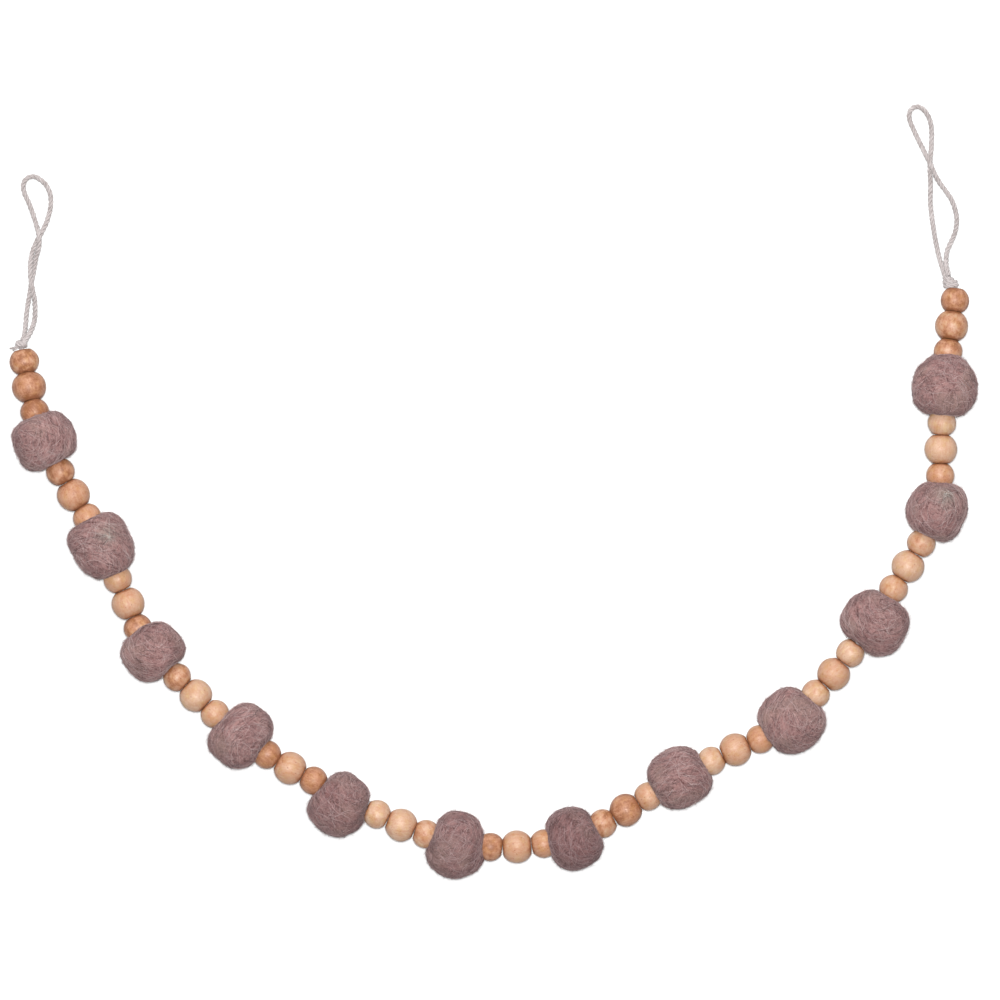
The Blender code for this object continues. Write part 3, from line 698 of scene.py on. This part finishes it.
felt.node_tree.links.new(felt_bump.outputs["Normal"], shader.inputs["Normal"])
shader.inputs["Roughness"].default_value = 1.0
shader.inputs["Specular IOR Level"].default_value = 0.1
shader.inputs["Sheen Weight"].default_value = 0.08
shader.inputs["Sheen Roughness"].default_value = 0.45
shader.inputs["Sheen Tint"].default_value = (0.88, 0.84, 0.88, 1)


def felt_skin(ways, ball, seed, seats):
    """Where the felt's surface lies in each direction from a ball's middle.

    seats are the middle, hole direction towards the ball and half length of its two beads.
    """
    x, y, along, across, lean, squareness, _, presses = ball
    middle = np.array((x * MM, y * MM, BALL_MIDDLE))
    level = seats[1][0] - seats[0][0]
    level = Vector((level[0], level[1], 0)).normalized()
    level = np.array(Matrix.Rotation(math.radians(lean), 3, "Z") @ level)
    side = np.cross(level, (0, 0, 1))
    down_cord = np.abs(ways @ level) / (along * MM / 2)
    wide = np.hypot(ways @ side / (across * MM / 2), ways[:, 2] / (BALL_HEIGHT / 2))
    reach = (down_cord ** squareness + wide ** squareness) ** (-1 / squareness)
    for bearing, push in presses:
        heading = (math.cos(math.radians(bearing)), math.sin(math.radians(bearing)), 0)
        reach = reach + push * MM * np.exp((ways @ heading - 1) / PRESS_SPREAD)
    skin = middle + ways * (reach[:, None] - NAP)
    swell = sum(height * unevenness(skin, size, seed + step)
                for step, (height, size) in enumerate(HOLLOWS))
    skin = skin + ways * swell[:, None]
    for bead_middle, inward, half in seats:
        rest = skin - bead_middle
        depth = rest @ inward
        radial = np.linalg.norm(rest - depth[:, None] * inward, axis=1)
        radius = SMALL_WIDTH / 2
        bulge = half / math.sqrt(1 - (FLAT_WIDTH / SMALL_WIDTH) ** 2)
        cup = bulge * np.sqrt(np.clip(1 - (radial / radius) ** 2, 0, 1))
        cup = np.minimum(cup, half) + SEAT_GAP
        cup = np.where(radial < radius, cup, -1)
        pressed = SEAT_SOFTNESS * np.logaddexp(depth / SEAT_SOFTNESS, cup / SEAT_SOFTNESS)
        skin = skin + inward * np.where(radial < radius, pressed - depth, 0)[:, None]
    skin[:, 2] = np.maximum(skin[:, 2], 0.02 * MM)
    return skin


def fibre_arcs(locks, together, steps, sweeps, roll, draw):
    """Directions along curved fibres over a ball, laid in locks that run side by side.

    Every other lock runs round the way that the ball was rolled. sweeps are the least and the most
    that a fibre turns about the ball's middle, in radians.
    """
    start = unit(draw.normal(size=(locks, 3)))
    lean = unit(np.cross(start, draw.normal(size=(locks, 3))))
    spread = draw.uniform(0.6, 1.5, size=(locks, 1))
    pole = start * np.cos(spread) + lean * np.sin(spread)
    pole[::2] = unit(roll + draw.normal(scale=0.22, size=pole[::2].shape))
    count = locks * together
    start = unit(np.repeat(start, together, axis=0) + draw.normal(scale=0.10, size=(count, 3)))
    pole = unit(np.repeat(pole, together, axis=0) + draw.normal(scale=0.12, size=(count, 3)))
    turn = np.linalg.norm(np.cross(pole, start), axis=1, keepdims=True)
    sweep = np.minimum(draw.uniform(*sweeps, size=(count, 1)) / np.maximum(turn, 0.2), 2.4)
    angle = (sweep * np.linspace(0, 1, steps)[None, :])[:, :, None]
    arc = (start[:, None] * np.cos(angle) + np.cross(pole, start)[:, None] * np.sin(angle)
           + pole[:, None] * (pole * start).sum(axis=1)[:, None, None] * (1 - np.cos(angle)))
    wave = np.sin(np.linspace(0, 7, steps)[None, :, None] + draw.uniform(0, 6.3, size=(count, 1, 1)))
    return unit(arc + pole[:, None] * wave * draw.uniform(0, 0.045, size=(count, 1, 1)))


def lay_fibres(name, arcs, ball, seed, seats, rises, widths, shades):
    """Fibres over the skin of a ball, at heights, widths and shades of their own."""
    count, steps, _ = arcs.shape
    skin = felt_skin(arcs.reshape(-1, 3), ball, seed, seats).reshape(arcs.shape)
    outs = unit(skin - np.array((ball[0] * MM, ball[1] * MM, BALL_MIDDLE)))
    ends = np.interp(np.linspace(0, 1, steps), (0, 0.15, 0.85, 1), (0.45, 1, 1, 0.35))
    lines = skin + outs * rises[:, :, None] * MM
    return strands(name, lines, outs, widths * MM * ends[None, :], shades, felt)


bpy.ops.object.select_all(action="DESELECT")
bpy.ops.mesh.primitive_ico_sphere_add(subdivisions=6, radius=1)
rolled = bpy.context.object
# How far round its circle the winding pattern is spread, in the units of the noise
ROLL_SPAN = 3.6
round_ways = unit(corners_of(rolled.data))
for number, ball in enumerate(FELT_BALLS):
    draw = np.random.default_rng(100 + number)
    before, after = 3 * number + 2, 3 * number + 3
    seats = ((bead_middles[before], bead_ways[before], bead_halves[before][0]),
             (bead_middles[after], -bead_ways[after], bead_halves[after][0]))
    seed = 10 * number
    roll = unit(draw.normal(size=3) + np.array((0, 0, 1.2)))
    mesh = rolled.data.copy()
    mesh.name = f"wool_ball_{number + 1:02d}"
    skin = felt_skin(round_ways, ball, seed, seats)
    mesh.vertices.foreach_set("co", skin.ravel())
    # Where each place lies about the way the ball was rolled, in millimetres
    rest = (skin - np.array((ball[0] * MM, ball[1] * MM, BALL_MIDDLE))) / MM
    first_side = unit(np.cross(roll, (1, 0, 0)))
    round_it = np.stack([rest @ first_side, rest @ np.cross(roll, first_side)], axis=1)
    turns = unit(round_it) * ROLL_SPAN
    laid_place = np.stack([np.linalg.norm(round_it, axis=1), rest @ roll, turns[:, 0]], axis=1)
    tag_corners(mesh, "laid", laid_place)
    tag_corners(mesh, "laid_turn", turns[:, 1])
    tag_corners(mesh, "strand", np.zeros(len(skin)))
    mesh.materials.append(felt)
    mesh.shade_smooth()
    body = bpy.data.objects.new(mesh.name, mesh)
    bpy.context.collection.objects.link(body)

    layers = [body]
    for name, locks, places, sweeps, rises, widths, shades in LAID_FIBRES:
        count = locks * LOCK
        arcs = fibre_arcs(locks, LOCK, places, sweeps, roll, draw)
        arch = np.sin(np.linspace(0, math.pi, places))[None, :]
        rises = arch * draw.uniform(*rises, size=(count, 1)) - END_DEPTH
        widths = draw.uniform(*widths, size=(count, 1))
        shades = np.clip(draw.normal(*shades, size=count), 0.05, 1)
        layers.append(lay_fibres(name, arcs, ball, seed, seats, rises, widths, shades))
    arcs = fibre_arcs(FUZZ_HAIRS, 1, FUZZ_PLACES, FUZZ_SWEEPS, roll, draw)
    flyaway = np.linspace(0, 1, FUZZ_PLACES)[None, :] ** 1.5
    rises = flyaway * draw.uniform(*FUZZ_RISES, size=(FUZZ_HAIRS, 1))
    layers.append(lay_fibres("fuzz", arcs, ball, seed, seats, rises,
                             np.full((FUZZ_HAIRS, 1), FUZZ_WIDTH), np.full(FUZZ_HAIRS, FUZZ_SHADE)))

    bpy.ops.object.select_all(action="DESELECT")
    for layer in layers:
        layer.select_set(True)
    bpy.context.view_layer.objects.active = body
    bpy.ops.object.join()
    corners = corners_of(body.data) / MM
    tag_corners(body.data, "dye", np.full(len(corners), ball[6]))
    greyness = np.zeros(len(corners))
    for x, y, width in GREY_LOCKS:
        away = np.hypot(corners[:, 0] - x, corners[:, 1] - y) / width
        greyness += np.exp(-away ** 2) * (corners[:, 2] * MM > BALL_MIDDLE)
    tag_corners(body.data, "grey_lock", greyness)
    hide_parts(f"felt_ball_{number + 1:02d}")
    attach(body, "root")
bpy.data.objects.remove(rolled)
